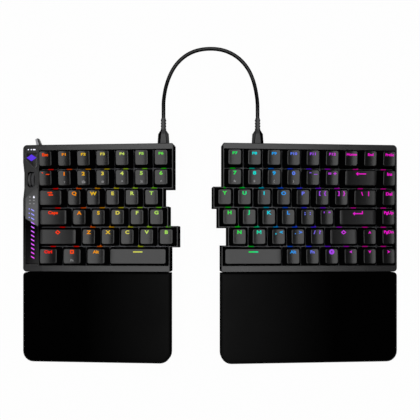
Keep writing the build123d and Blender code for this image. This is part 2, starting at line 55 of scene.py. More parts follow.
# Link cable. A soft black PVC jacket 3.8 mm thick round five thin wires. It leaves both moulded
# plugs straight, falls to the desk and lies there in one arch.
mm = 0.001
cable_diameter = 3.8 * mm
cable_route = (
    (-46.12, 130.81, 20.05),
    (-46.12, 140.81, 20.05),
    (-46.5, 148.2, 15.6),
    (-46.0, 158.0, 8.8),
    (-44.7, 167.6, 3.4),
    (-41.6, 177.4, 1.9),
    (-37.0, 186.4, 1.9),
    (-30.8, 194.0, 1.9),
    (-22.4, 200.5, 1.9),
    (-12.0, 204.6, 1.9),
    (0.6, 206.0, 1.9),
    (12.8, 204.7, 1.9),
    (23.6, 200.3, 1.9),
    (32.4, 193.6, 1.9),
    (39.2, 184.9, 1.9),
    (43.6, 175.4, 1.9),
    (46.0, 166.0, 3.6),
    (47.0, 157.0, 9.0),
    (47.4, 147.8, 15.7),
    (47.22, 140.81, 19.95),
    (47.22, 130.81, 19.95),
)


class Wire:
    """A socket of a node tree. Sums and products of wires add the Math nodes that work them out."""

    def __init__(self, tree, socket=None):
        self.tree = tree
        self.socket = socket

    def make(self, kind, sockets=None, output=0, stops=None, **settings):
        node = self.tree.nodes.new(kind)
        for name, value in settings.items():
            setattr(node, name, value)
        for number, (position, colour) in enumerate(stops or ()):
            points = node.color_ramp.elements
            point = points[number] if number < len(points) else points.new(position)
            point.position = position
            point.color = (*colour, 1)
        for name, value in (sockets or {}).items():
            if isinstance(value, Wire):
                self.tree.links.new(value.socket, node.inputs[name])
            else:
                node.inputs[name].default_value = value
        return Wire(self.tree, node.outputs[output] if node.outputs else None)

    def feed(self, shader, name):
        self.tree.links.new(self.socket, shader.inputs[name])

    def maths(self, operation, first, second):
        return self.make("ShaderNodeMath", {0: first, 1: second}, operation=operation)

    def part(self, axis):
        return self.make("ShaderNodeSeparateXYZ", {"Vector": self}, output=axis)

    def __add__(self, other):
        return self.maths("ADD", self, other)

    def __sub__(self, other):
        return self.maths("SUBTRACT", self, other)

    def __rsub__(self, other):
        return self.maths("SUBTRACT", other, self)

    def __mul__(self, other):
        return self.maths("MULTIPLY", self, other)

    def __gt__(self, other):
        return self.maths("GREATER_THAN", self, other)

    __radd__ = __add__
    __rmul__ = __mul__


def screen(red, green, blue):
    # a colour as a screen shows it, from 0 to 255, in the scene's linear values
    tones = [value / 255 for value in (red, green, blue)]
    return [((tone + 0.055) / 1.055) ** 2.4 if tone > 0.04 else tone / 12.92 for tone in tones]


def shades(share, low, high):
    stops = ((0.0, low), (1.0, high))
    return share.make("ShaderNodeValToRGB", {"Fac": share}, stops=stops)


def new_finish(name):
    material = bpy.data.materials.new(name)
    material.use_nodes = True
    shader = material.node_tree.nodes["Principled BSDF"]
    place = Wire(material.node_tree).make("ShaderNodeTexCoord", output="Object")
    return material, shader, place


def noise(place, size, detail=3.0, stretch=(1, 1, 1)):
    spot = place.make("ShaderNodeMapping", {"Vector": place, "Scale": stretch})
    return place.make("ShaderNodeTexNoise", {"Vector": spot, "Scale": 1 / size, "Detail": detail})


def moulded(
    name, tone, roughness, grain=0.5, relief=0.01, spread=0.2,
    gloss=0.5, coat=0.0, metal=0.0, stretch=(1, 1, 1),
):
    # fine grain of that size and relief in mm, over broad drifts of colour and roughness
    material, shader, place = new_finish(name)
    fine = noise(place, grain * mm, stretch=stretch)
    broad = noise(place, 30 * mm, 4.0)
    low = [value * (1 - spread) for value in tone]
    high = [value * (1 + spread) for value in tone]
    shades(broad * 0.6 + fine * 0.4, low, high).feed(shader, "Base Color")
    (broad * (0.3 * roughness) + fine * (0.2 * roughness) + 0.75 * roughness).feed(shader, "Roughness")
    bump = place.make("ShaderNodeBump", {"Height": fine, "Distance": relief * mm})
    bump.feed(shader, "Normal")
    shader.inputs["Coat Weight"].default_value = coat
    shader.inputs["Coat Roughness"].default_value = 0.1
    shader.inputs["Metallic"].default_value = metal
    shader.inputs["Specular IOR Level"].default_value = gloss
    return material


def give(piece, material):
    piece.data.materials.clear()
    piece.data.materials.append(material)


def dress(material, *names):
    for name in names:
        give(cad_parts[name], material)


def matte_painted_shade(material, tone, share_of):
    # painted shade: a darker matte copy of the same surface, laid where the share that share_of works
    # out is nought
    tree = material.node_tree
    start = Wire(tree)
    upward = start.make("ShaderNodeNewGeometry", output="Normal").part("Z")
    squarely = 1 - start.make("ShaderNodeLayerWeight", {"Blend": 0.5}, output="Facing")
    matte = tree.nodes.new("ShaderNodeBsdfPrincipled")
    place = start.make("ShaderNodeTexCoord", output="Object")
    shades(noise(place, 0.4 * mm), [value * 0.8 for value in tone], tone).feed(matte, "Base Color")
    matte.inputs["Roughness"].default_value = 0.6
    matte.inputs["Specular IOR Level"].default_value = 0.0
    joined = start.make("ShaderNodeMixShader", {0: share_of(upward, squarely, place)})
    tree.links.new(matte.outputs[0], joined.socket.node.inputs[1])
    tree.links.new(tree.nodes["Principled BSDF"].outputs[0], joined.socket.node.inputs[2])
    tree.links.new(joined.socket, tree.nodes["Material Output"].inputs["Surface"])
    return material


def along_top(upward, squarely, place):
    # a round cord shines only along the line that faces up; off it, it is painted shade
    return (upward - 0.75) * 3


cable_curve = bpy.data.curves.new("link cable", "CURVE")
cable_curve.dimensions = "3D"
cable_curve.bevel_depth = cable_diameter / 2
cable_curve.bevel_resolution = 6
cable_curve.resolution_u = 10
cable_curve.use_fill_caps = True
cable_line = cable_curve.splines.new("NURBS")
cable_line.points.add(len(cable_route) - 1)
for point, spot in zip(cable_line.points, cable_route):
    point.co = (*(Vector(spot) * mm), 1)
cable_line.order_u = 3
cable_line.use_endpoint_u = True
cable = bpy.data.objects.new("cable", cable_curve)
bpy.context.scene.collection.objects.link(cable)
jacket = moulded("cable jacket", screen(14, 14, 15), 0.4, grain=0.8, relief=0.02)
# painted shade: the jacket takes a darker matte copy off its top line
give(cable, matte_painted_shade(jacket, screen(6, 6, 7), along_top))
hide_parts("link_cable")
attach(cable, "keyboard_halves")
Vector(cable_route[0]) * mm

# Link plugs. Each is one faceted soft PVC moulding over a steel USB-C shell, with a strain relief
# that is ribbed on each side of a spine.
left_plug_x = 46.1 * mm
right_plug_x = 47.2 * mm
plug_root_y = 104.6 * mm
sheen_half = 3.2 * mm
sheen_taper = 0.11
least_sheen_half = 1.3 * mm


def plug_share(upward, squarely, place):
    # painted shade darkens a plug's top beside its middle, which narrows towards the cable, and its
    # other faces unless seen squarely
    across = place.part("X")
    plug_x = (across > 0) * (right_plug_x - left_plug_x) + left_plug_x
    aside = across.maths("ABSOLUTE", across, 0) - plug_x
    narrowing = sheen_half - (place.part("Y") - plug_root_y) * sheen_taper
    reach = aside.maths("MAXIMUM", narrowing, least_sheen_half)
    middle = 1 - (aside.maths("ABSOLUTE", aside, 0) - reach > 0)
    top = upward > 0.8
    return upward.maths("MAXIMUM", top * middle, (squarely - 0.6) * 5 * (1 - top))


plug_vinyl = moulded("plug moulding", screen(26, 26, 28), 0.42, grain=0.5, relief=0.015)
# painted shade: the plugs' shoulders and bevels take a darker matte copy
dress(matte_painted_shade(plug_vinyl, screen(8, 8, 9), plug_share), "left_link_plug", "right_link_plug")

# Case halves. Bottom case and top frame are injection moulded ABS with a satin spark-eroded grain,
# screwed together from below. The steel switch plate lies between them, seen grey between the keys.
case_grain = dict(grain=0.35, relief=0.012)
satin_case = moulded(
    "satin case plastic", screen(24, 24, 25), 0.28, spread=0.12, gloss=0.42, **case_grain
)
strip_inner_x = -166.5 * mm
strip_line = -80.5 * mm
strip_line_slant = 0.62
dark_until_y = 24 * mm
growing_sheen = 11.5


def brighter_forwards(place):
    # painted shade: beside the strip's front half the frame takes a darker matte copy, with a painted
    # sheen that grows only towards the front
    along = place.part("Y")
    in_front = 1 - (along + place.part("X") * strip_line_slant > strip_line)
    beside = in_front * (1 - (place.part("X") > strip_inner_x))
    return 1 - beside * (1 - (dark_until_y - along) * growing_sheen)


def tops_and_squarely(upward, squarely, place):
    # flat tops shine, and walls only where they are seen squarely; elsewhere they are painted shade
    return upward.maths("MAXIMUM", upward > 0.8, (squarely - 0.6) * 5)


def tops_by_strip(upward, squarely, place):
    return tops_and_squarely(upward, squarely, place) * brighter_forwards(place)


# painted shade: the frames' walls, and the frame beside the strip's front half, take a darker matte
# copy
dress(matte_painted_shade(satin_case, screen(9, 9, 10), tops_by_strip), "left_top_frame", "right_top_frame")
bottom_plastic = moulded("case bottom plastic", screen(20, 20, 21), 0.45, **case_grain)
# painted shade: the bottom cases' walls take a darker matte copy
bottom_plastic = matte_painted_shade(bottom_plastic, screen(9, 9, 10), tops_and_squarely)
dress(bottom_plastic, "left_bottom_case", "right_bottom_case")
brushed_steel = moulded(
    "brushed switch plate", screen(92, 93, 96), 0.42, grain=0.3, metal=0.7, stretch=(0.04, 1, 1)
)
dress(brushed_steel, "left_switch_plate", "right_switch_plate")
dress(
    moulded("black circuit board", screen(20, 26, 24), 0.35, grain=1.5, coat=0.4),
    "left_circuit_board",
    "right_circuit_board",
)
dress(
    moulded("damping foam", screen(40, 40, 42), 0.9, grain=0.7, relief=0.08),
    "left_damping_sheet",
    "right_damping_sheet",
)
dress(moulded("battery foil", screen(150, 152, 155), 0.35, grain=2.0, metal=0.9), "battery")

# Switches and stabilisers. Injection moulded black nylon housings. Those of the switches are clipped
# into the plate and soldered to the board, those of the stabilisers are clipped into the plate.
dress(
    moulded("switch nylon", screen(26, 26, 28), 0.5, grain=0.4),
    "left_switch_housings",
    "right_switch_housings",
    "stabiliser_housings",
)

# Screws, pads, feet. Black zinc-plated steel screws hold the case from below. The pads are silicone
# rubber, glued on, and the tent feet are moulded nylon legs that fold on a pin.
dress(moulded("black zinc", screen(70, 70, 74), 0.3, grain=0.2, metal=1.0), "case_screws")
dress(moulded("silicone pads", screen(44, 44, 45), 0.7, grain=0.3), "case_rubber_pads")
dress(
    moulded("foot nylon", screen(36, 36, 38), 0.5, grain=0.4),
    *(f"{side}_{place}_tent_foot" for side in ("left", "right") for place in ("rear", "front", "palm")),
)

# Keycaps. Hollow double-shot ABS caps, black with a satin top coat. Each row has its own height and
# tilt, the top is dished across, and the walls lean in from a sharp skirt.
half_reach = 184.3
tent_angle = 5.0
key_pitch = 19.05
field_rear = 99.06
left_strip = 16.4
right_margin = 1.7
cap_gap = 0.95
cap_skirt = 17.6
cap_side_lean = 2.85
long_cap_side_lean = 1.5
space_bar_units = 3.08
cap_end_lean = 1.75
cap_wall = 1.4
cap_roof = 1.7
cap_dish = 0.5
skirt_round = 0.15
skirt_corner = 1.1
top_corner = 1.9
slider_size = (6.6, 5.0)
stem_width = 4.0
slider_low = 11.1
shift_stem_reach = 11.94
space_stem_reach = 19.05
cap_wall_bands = 9
row_heights = (28.4, 28.2, 27.0, 26.2, 26.4, 26.6)
row_tilts = (5.0, 5.0, 2.5, 0.0, -2.5, -2.5)
legend_rows = (3.8, 4.0, 3.8, 4.1, 4.3, 4.3)
shifted_y = -3.9
pair_gap = 2.6
pair_raises = {"-": 1.2, "'": -0.6}


def alike(group, marks, units=1):
    # neighbouring keys of one group, as group, width in key units and marks
    return [(group, units, mark) for mark in marks]


left_rows = (
    alike("esc_key", ["Esc"]) + alike("left_function_keys", [f"F{n}" for n in range(1, 7)]),
    alike("left_number_keys", ("` ~", "1 !", "2 @", "3 #", "4 $", "5 %", "6 ^")),
    alike("tab_key", ["tab"], 1.5) + alike("left_upper_letter_keys", "QWERT"),
    alike("caps_lock_key", ["Caps"], 1.75) + alike("left_home_letter_keys", "ASDFG"),
    alike("left_shift_key", ["shift"], 2.25) + alike("left_lower_letter_keys", "ZXCVB"),
    alike("left_modifier_keys", ("Ctrl", "square", "Alt"), 1.25)
    + alike("left_space_bar", ["line"], space_bar_units),
)
right_rows = (
    alike("navigation_keys", ("PrtSc", "End", "Home"))
    + alike("right_function_keys", [f"F{n}" for n in range(12, 6, -1)]),
    alike("navigation_keys", ["Ins"])
    + alike("backspace_key", ["left arrow"], 2)
    + alike("right_number_keys", ("= +", "- _", "0 )", "9 (", "8 *", "7 &")),
    alike("navigation_keys", ["Del"])
    + alike("backslash_key", ["\\ |"], 1.5)
    + alike("right_upper_letter_keys", ("] }", "[ {", "P", "O", "I", "U", "Y")),
    alike("navigation_keys", ["PgUp"])
    + alike("enter_key", ["hooked arrow"], 2.25)
    + alike("right_home_letter_keys", ("' \"", "; :", "L", "K", "J", "H")),
    alike("navigation_keys", ["PgDn"])
    + alike("arrow_keys", ["up"])
    + alike("right_shift_key", ["shift"], 1.75)
    + alike("right_lower_letter_keys", ("/ ?", ". >", ", <", "M", "N")),
    alike("arrow_keys", ("right", "down", "left"))
    + alike("right_modifier_keys", ("disc", "Fn", "Alt"))
    + alike("right_space_bar", ["line"], space_bar_units),
)


def half_place(side):
    # from a half drawn flat, in mm, to where it stands; the right half's x runs negative inwards
    sign = -1 if side == "left" else 1
    lean = Matrix.Rotation(sign * radians(tent_angle), 4, "Y")
    return Matrix.Scale(mm, 4) @ Matrix.Translation((sign * half_reach, 0, 0)) @ lean


def keys_of(side):
    # each key of a half: group, row, place of its middle, width in key units, and its marks
    left = (left_rows, left_strip, 1)
    rows, margin, sign = left if side == "left" else (right_rows, right_margin, -1)
    for number, row in enumerate(rows):
        x = margin
        for group, units, marks in row:
            y = field_rear - (number + 0.5) * key_pitch
            yield group, number, Vector((sign * (x + units * key_pitch / 2), y, 0)), units, marks
            x += units * key_pitch


def rounded_ring(width, depth, radii, side_steps, corner_steps=4):
    # points round a rounded rectangle, radii from front left by front right to rear left
    signs = ((-1, -1), (1, -1), (1, 1), (-1, 1))

    def corner_point(number, turn):
        radius = radii[number % 4]
        across, along = signs[number % 4]
        centre = Vector((across * (width / 2 - radius), along * (depth / 2 - radius), 0))
        return centre + radius * Vector((cos(turn), sin(turn), 0))

    points = []
    for number in range(4):
        start = pi + number * pi / 2
        for step in range(corner_steps + 1):
            points.append(corner_point(number, start + step * pi / 2 / corner_steps))
        last = points[-1]
        following = corner_point(number + 1, start + pi / 2)
        points += [last.lerp(following, step / side_steps) for step in range(1, side_steps)]
    return points


def close_rings(mesh, rings, first, last, second_until=0):
    # one closed shell from the point first, out over the rings, to the point last; the bands before
    # second_until take the piece's second material
    loops = [[mesh.verts.new(point) for point in ring] for ring in rings]
    for number, (lower, upper) in enumerate(zip(loops, loops[1:]), start=1):
        for a, b, c, d in zip(lower, lower[1:] + lower[:1], upper[1:] + upper[:1], upper):
            mesh.faces.new((a, b, c, d)).material_index = int(number < second_until)
    for loop, point, order in ((loops[0], first, -1), (loops[-1], last, 1)):
        tip = mesh.verts.new(point)
        for a, b in zip(loop, loop[1:] + loop[:1]):
            mesh.faces.new((a, b, tip)[::order])


def side_lean(units):
    return long_cap_side_lean if units >= 3 else cap_side_lean


def top_height(x, y, units, row):
    # height of a cap's dished top over the point, measured from its middle
    half_width = (units * key_pitch - cap_gap) / 2 - side_lean(units)
    dish = cap_dish * max(0, 1 - (x / half_width) ** 2)
    return row_heights[row] + y * tan(radians(row_tilts[row])) - dish


def cap_rings(units, row):
    width = units * key_pitch - cap_gap
    depth = key_pitch - cap_gap
    top_width = width - 2 * side_lean(units)
    top_depth = depth - 2 * cap_end_lean
    steps = 10

    def ring(wide, deep, corner, height=None, drop=0.0):
        points = rounded_ring(wide, deep, [corner] * 4, steps)
        for point in points:
            point.z = top_height(point.x, point.y, units, row) - drop if height is None else height
        return points

    inner = [ring(top_width - cap_wall, top_depth - cap_wall, top_corner / 2, None, cap_roof)]
    for drawn_in, height in ((cap_wall, cap_skirt + skirt_round), (cap_wall - skirt_round, cap_skirt)):
        inner.append(ring(width - 2 * drawn_in, depth - 2 * drawn_in, skirt_corner / 2, height))
    outer = [ring(width - 2 * skirt_round, depth - 2 * skirt_round, skirt_corner, cap_skirt)]
    outer.append(ring(width, depth, skirt_corner, cap_skirt + skirt_round))
    for grow, drop in ((0.3, 1.0), (0.12, 0.45), (-0.02, 0.2), (-0.25, 0.06), (-0.6, 0.0)):
        wide, deep = top_width + 2 * grow, top_depth + 2 * grow
        outer.append(ring(wide, deep, top_corner + grow / 2, None, drop))
    for share in (0.82, 0.62, 0.4, 0.2):
        outer.append(ring((top_width - 1.2) * share, (top_depth - 1.2) * share, top_corner * share))
    roof = Vector((0, 0, top_height(0, 0, units, row)))
    return inner + outer, roof - Vector((0, 0, cap_roof)), roof


def add_block(mesh, middle, width, depth, low, high):
    corner = min(width, depth) * 0.12
    rings = []
    for grow, height in ((-corner, low), (0, low + corner), (0, high)):
        ring = rounded_ring(width + 2 * grow, depth + 2 * grow, [corner] * 4, 2, 2)
        rings.append([point + middle + Vector((0, 0, height)) for point in ring])
    ends = [middle + Vector((0, 0, low)), middle + Vector((0, 0, high))]
    close_rings(mesh, rings, *ends)


def finished_piece(name, mesh, material, body, sharp=40):
    # a bmesh made an object at the origin, smooth but for its sharp edges, riding on a body
    data = bpy.data.meshes.new(name)
    mesh.to_mesh(data)
    mesh.free()
    for face in data.polygons:
        face.use_smooth = True
    data.set_sharp_from_angle(angle=radians(sharp))
    piece = bpy.data.objects.new(name, data)
    bpy.context.scene.collection.objects.link(piece)
    data.materials.append(material)
    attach(piece, body)
    return piece


def cap_finish(name):
    # satin coat on top, a little smoother in broad random drifts, over black plastic
    material, shader, place = new_finish(name)
    fine = noise(place, 0.25 * mm)
    broad = noise(place, 22 * mm, 2.0)
    shades(broad * 0.5 + fine * 0.5, screen(9, 9, 10), screen(15, 15, 16)).feed(shader, "Base Color")
    (broad * 0.06 + fine * 0.04 + 0.18).feed(shader, "Roughness")
    place.make("ShaderNodeBump", {"Height": fine, "Distance": 0.006 * mm}).feed(shader, "Normal")
    shader.inputs["Specular IOR Level"].default_value = 0.36
    return material


def very_squarely(upward, squarely, place):
    # a cap's walls shine only where they are seen squarely, and are painted shade elsewhere
    return (squarely - 0.78) * 6


keycap_coat = cap_finish("keycap coat")
# painted shade: the caps' walls take a darker matte copy of the coat's finish
keycap_wall = matte_painted_shade(cap_finish("keycap wall"), screen(9, 9, 10), very_squarely)
cap_meshes = {}
for side in ("left", "right"):
    for group, row, middle, units, marks in keys_of(side):
        mesh = cap_meshes.setdefault((group, side), bmesh.new())
        rings, under, roof = cap_rings(units, row)
        moved = [[point + middle for point in ring] for ring in rings]
        close_rings(mesh, moved, under + middle, roof + middle, cap_wall_bands)
        stem_top = row_heights[row] - cap_roof
        add_block(mesh, middle, *slider_size, slider_low, stem_top)
        reach = shift_stem_reach if units < 3 else space_stem_reach
        for x in (-reach, reach) if units >= 2 else ():
            stem = middle + Vector((x, 0, 0))
            add_block(mesh, stem, stem_width, slider_size[1], slider_low, stem_top)
for (group, side), mesh in cap_meshes.items():
    mesh.transform(half_place(side))
    caps = finished_piece(f"{group}_caps", mesh, keycap_coat, group)
    caps.data.materials.append(keycap_wall)
    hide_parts(group)

# Key legends. Clear second-shot plastic that comes through the cap flush with its dish, lit from
# below in a rainbow that runs across both halves. The shifted signs of the number row are printed.
legend_height = 3.2
small_height = 2.0
function_height = 2.3
word_height = 2.8
page_height = 2.6
legend_weight = 0.18
legend_sink = 0.2
legend_proud = 0.03
legend_words = dict.fromkeys(("Esc", "Caps", "Ctrl", "Alt", "Fn", "Ins", "Del"), word_height)
legend_words.update(PgUp=page_height, PgDn=page_height)
arrow_head = ((-1.5, -1.4), (0, -0.7), (1.5, -1.4), (0, 1.5))
icons = {
    "tab": (
        ((-2.7, 0.6), (0.4, 0.6), (0.4, 0.0), (2.3, 1.2), (0.4, 2.3), (0.4, 1.7), (-2.7, 1.7)),
        ((2.7, -1.7), (-0.4, -1.7), (-0.4, -2.3), (-2.3, -1.1), (-0.4, 0.0), (-0.4, -0.6), (2.7, -0.6)),
    ),
    "shift": (
        ((-2.7, 0), (0, -2.2), (2.7, 0), (0, 2.2)),
        ((-1.3, 0), (0, -1.0), (1.3, 0), (0, 1.0)),
    ),
    "square": (
        ((-1.9, -1.9), (1.9, -1.9), (1.9, 1.9), (-1.9, 1.9)),
        ((-0.8, -0.8), (0.8, -0.8), (0.8, 0.8), (-0.8, 0.8)),
    ),
    "line": (((-4.6, -0.6), (4.6, -0.6), (4.6, 0.6), (-4.6, 0.6)),),
    "left arrow": (
        ((-5.2, 0), (-3.0, 1.8), (-3.0, 0.5), (5.0, 0.5), (5.0, -0.5), (-3.0, -0.5), (-3.0, -1.8)),
    ),
    "hooked arrow": (
        (
            (-5.2, -0.6), (-3.0, 1.2), (-3.0, -0.1), (4.0, -0.1), (4.0, 1.9),
            (5.0, 1.9), (5.0, -1.1), (-3.0, -1.1), (-3.0, -2.4),
        ),
    ),
    "up": (arrow_head,),
    "down": (tuple((x, -y) for x, y in arrow_head),),
    "left": (tuple((-y, x) for x, y in arrow_head),),
    "right": (tuple((y, -x) for x, y in arrow_head),),
    "disc": tuple(
        tuple((radius * cos(pi * n / 10), radius * sin(pi * n / 10)) for n in range(20))
        for radius in (2.6, 0.7)
    ),
    "M": (
        (
            (-2.2, -1.78), (-2.2, 1.78), (-1.35, 1.78), (0, 0.2), (1.35, 1.78), (2.2, 1.78),
            (2.2, -1.78), (1.4, -1.78), (1.4, 0.5), (0, -1.1), (-1.4, 0.5), (-1.4, -1.78),
        ),
    ),
    "*": (
        tuple(
            (radius * cos(pi * n / 6), radius * sin(pi * n / 6))
            for n, radius in enumerate((1.7, 0.8) * 6)
        ),
    ),
}
mark_shapes = {}


def legend_stretch(mark):
    # how much wider than the plain font a mark is
    if mark[0] == "F" and mark[1:].isdigit():
        return 1.55 if len(mark) == 2 else 1.38
    if len(mark) > 1:
        return 1.22 if len(mark) > 3 else 1.15
    return 1.36 if mark.isdigit() else 1.26


def mark_shape(mark, height):
    # the mark as a flat slab one unit up and down, so that it can be laid on the dish
    if (mark, height) in mark_shapes:
        return mark_shapes[mark, height]
    if mark in icons:
        curve = bpy.data.curves.new(mark, "CURVE")
        curve.dimensions = "2D"
        curve.fill_mode = "BOTH"
        for outline in icons[mark]:
            line = curve.splines.new("POLY")
            line.points.add(len(outline) - 1)
            for point, (x, y) in zip(line.points, outline):
                point.co = (x, y, 0, 1)
            line.use_cyclic_u = True
        stretch = height / legend_height
    else:
        curve = bpy.data.curves.new(mark, "FONT")
        curve.body = mark
        curve.size = height / 0.7
        curve.offset = legend_weight * min(1, height / legend_height)
        curve.resolution_u = 3
        curve.align_x = "CENTER"
        stretch = legend_stretch(mark)
    curve.extrude = 1.0
    piece = bpy.data.objects.new(mark, curve)
    bpy.context.scene.collection.objects.link(piece)
    ready = piece.evaluated_get(bpy.context.evaluated_depsgraph_get())
    data = bpy.data.meshes.new_from_object(ready)
    points = [Vector(vertex.co) for vertex in data.vertices]
    levels = [point.y for point in points]
    on_line = mark in "-_.,'\"`~=+^*:;"
    shift = 0 if mark in icons else (height if on_line else max(levels) + min(levels)) / 2
    placed = [Vector((point.x * stretch, point.y - shift, point.z)) for point in points]
    mark_shapes[mark, height] = (placed, [tuple(face.vertices) for face in data.polygons])
    bpy.data.objects.remove(piece)
    bpy.data.meshes.remove(data)
    return mark_shapes[mark, height]


def lay_mark(mesh, mark, height, spot, middle, units, row):
    points, faces = mark_shape(mark, height)
    made = []
    for point in points:
        x = point.x + spot[0]
        y = point.y + spot[1]
        rise = legend_proud if point.z > 0 else -legend_sink
        made.append(mesh.verts.new(middle + Vector((x, y, top_height(x, y, units, row) + rise))))
    for face in faces:
        mesh.faces.new([made[number] for number in face])


def marks_of(marks, units, row):
    # what a key carries: the mark, its height, its place on the top, and whether it is lit
    parts = [marks] if marks in icons else marks.split(" ")
    if row == 1 and len(parts) == 2 and parts[0].isdigit():
        yield parts[0], legend_height, (0, legend_rows[row]), True
        yield parts[1], small_height, (0, shifted_y), False
    elif len(parts) == 2:
        apart = pair_gap * (1.25 if units > 1 else 1)
        raised = legend_rows[row] + pair_raises.get(parts[0], 0)
        yield parts[0], legend_height, (-apart, raised), True
        yield parts[1], legend_height, (apart, raised), True
    else:
        height = legend_words.get(parts[0], legend_height if row else function_height)
        yield parts[0], height, (0, legend_rows[row]), True
        if marks == "square":
            yield "Fn", small_height, (0, shifted_y), False


rainbow_slants = {"left": 0.3, "right": 0.17}
rainbow_reach = 200
rainbow_middle_y = 90 * mm
rainbow = (
    (-184, (255, 25, 5)),
    (-160, (255, 72, 0)),
    (-141, (245, 145, 0)),
    (-123, (235, 188, 25)),
    (-104, (222, 212, 85)),
    (-85, (202, 228, 105)),
    (-67, (176, 226, 98)),
    (-47, (105, 230, 75)),
    (0, (75, 228, 75)),
    (24, (15, 235, 95)),
    (43, (0, 222, 225)),
    (62, (20, 155, 240)),
    (81, (100, 125, 245)),
    (100, (160, 75, 235)),
    (118, (205, 55, 225)),
    (137, (240, 20, 205)),
)


def rainbow_at(place, slant):
    # the rainbow along X, which lags towards the front rows as the keys' stagger does
    across = place.part("X") + (place.part("Y") - rainbow_middle_y) * slant
    span = 2 * rainbow_reach
    stops = [((x + rainbow_reach) / span, screen(*colour)) for x, colour in rainbow]
    return across.make("ShaderNodeValToRGB", {"Fac": across * (1 / (span * mm)) + 0.5}, stops=stops)


def lit_finish(name, slant, strength, depth=1.0):
    # clear plastic that glows in the rainbow; a greater depth makes its colours purer
    material, shader, place = new_finish(name)
    cloud = noise(place, 1.5 * mm, 2.0)
    glow = rainbow_at(place, slant)
    glow.make("ShaderNodeGamma", {"Color": glow, "Gamma": depth}).feed(shader, "Emission Color")
    shader.inputs["Emission Strength"].default_value = strength
    shades(cloud, screen(3, 3, 3), screen(6, 6, 6)).feed(shader, "Base Color")
    (cloud * 0.1 + 0.45).feed(shader, "Roughness")
    shader.inputs["Specular IOR Level"].default_value = 0.0
    return material


printed_sign = moulded("printed sign", screen(150, 150, 152), 0.5, grain=0.3, relief=0.005)
lit_legend = {
    side: lit_finish(f"lit legend {side}", slant, 0.95) for side, slant in rainbow_slants.items()
}
legend_meshes = {}
for side in ("left", "right"):
    for group, row, middle, units, marks in keys_of(side):
        for mark, height, spot, lit in marks_of(marks, units, row):
            mesh = legend_meshes.setdefault((group, side, lit), bmesh.new())
            lay_mark(mesh, mark, height, spot, middle, units, row)
for (group, side, lit), mesh in legend_meshes.items():
    mesh.transform(half_place(side))
    bmesh.ops.remove_doubles(mesh, verts=mesh.verts, dist=0.001 * mm)
    bmesh.ops.recalc_face_normals(mesh, faces=mesh.faces)
    name = f"{group}_{'legends' if lit else 'signs'}"
    finish = lit_legend[side] if lit else printed_sign
    finished_piece(name, mesh, finish, group, sharp=20)

# Light windows. Behind each switch a small clear block stands on the plate over its light diode;
# its glow between the rows is painted light, standing in for the diode's light on the caps' front
# walls.
window_size = (5.1, 2.2)
window_height = 0.6
window_corner = 0.5
window_y = 9.9
plate_top = 11.3


def group_input(tree, name, kind, value=None):
    item = tree.interface.new_socket(name=name, in_out="INPUT", socket_type=kind)
    if value is not None:
        item.default_value = value
    return item.identifier


def repeat_tree(name, build, sizes):
    # a Geometry Nodes tree that puts what build makes on every vertex of the mesh it is given
    tree = bpy.data.node_groups.new(name, "GeometryNodeTree")
    names = {"Geometry": group_input(tree, "Geometry", "NodeSocketGeometry")}
    for size, value in sizes.items():
        kind = "NodeSocketVector" if isinstance(value, tuple) else "NodeSocketFloat"
        names[size] = group_input(tree, size, kind, value)
    names["Material"] = group_input(tree, "Material", "NodeSocketMaterial")
    tree.interface.new_socket(name="Geometry", in_out="OUTPUT", socket_type="NodeSocketGeometry")
    given = tree.nodes.new("NodeGroupInput")
    inputs = {name: Wire(tree, given.outputs[name]) for name in names}
    start = inputs["Geometry"]
    placed = build(start, inputs)
    real = start.make("GeometryNodeRealizeInstances", {"Geometry": placed})
    coloured = start.make("GeometryNodeSetMaterial", {"Geometry": real, "Material": inputs["Material"]})
    start.make("NodeGroupOutput", {"Geometry": coloured})
    return tree, names


def grow(name, points, tree, names, values, body, slot):
    # runs the tree on the points and keeps the plain mesh that it makes
    data = bpy.data.meshes.new(name)
    data.from_pydata(points, [], [])
    seed = bpy.data.objects.new(name, data)
    bpy.context.scene.collection.objects.link(seed)
    modifier = seed.modifiers.new("repeat", "NODES")
    modifier.node_group = tree
    for size, value in values.items():
        modifier[names[size]] = value
    grown = bpy.data.meshes.new_from_object(seed.evaluated_get(bpy.context.evaluated_depsgraph_get()))
    seed.modifiers.clear()
    seed.data = grown
    give(seed, values["Material"])
    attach(seed, body)
    return seed


def window_nodes(start, inputs):
    # a block with rounded corners over the given width and depth
    outline = start.make(
        "GeometryNodeCurvePrimitiveQuadrilateral",
        {"Width": inputs["Width"], "Height": inputs["Depth"]},
    )
    outline = start.make(
        "GeometryNodeFilletCurve",
        {"Curve": outline, "Radius": inputs["Corner"], "Count": 3},
        mode="POLY",
    )
    upright = start.make("GeometryNodeCurvePrimitiveLine", {"End": inputs["Rise"]})
    block = start.make(
        "GeometryNodeCurveToMesh", {"Curve": upright, "Profile Curve": outline, "Fill Caps": True}
    )
    return start.make(
        "GeometryNodeInstanceOnPoints",
        {"Points": inputs["Geometry"], "Instance": block, "Rotation": inputs["Lean"]},
    )


window_sizes = {
    "Width": window_size[0] * mm,
    "Depth": window_size[1] * mm,
    "Corner": window_corner * mm,
    "Rise": (0, 0, window_height * mm),
    "Lean": (0, 0, 0),
}
window_tree, window_names = repeat_tree("painted light blocks", window_nodes, window_sizes)
for side, slant in rainbow_slants.items():
    lean = radians(tent_angle if side == "right" else -tent_angle)
    spots = [
        half_place(side) @ (middle + Vector((0, window_y, plate_top)))
        for _, _, middle, _, _ in keys_of(side)
    ]
    glow = lit_finish(f"window light {side}", slant, 0.4, 2.0)
    values = {**window_sizes, "Lean": (0, lean, 0), "Material": glow}
    name = f"{side}_light_windows"
    grow(name, spots, window_tree, window_names, values, "keyboard_halves", "light_lens")

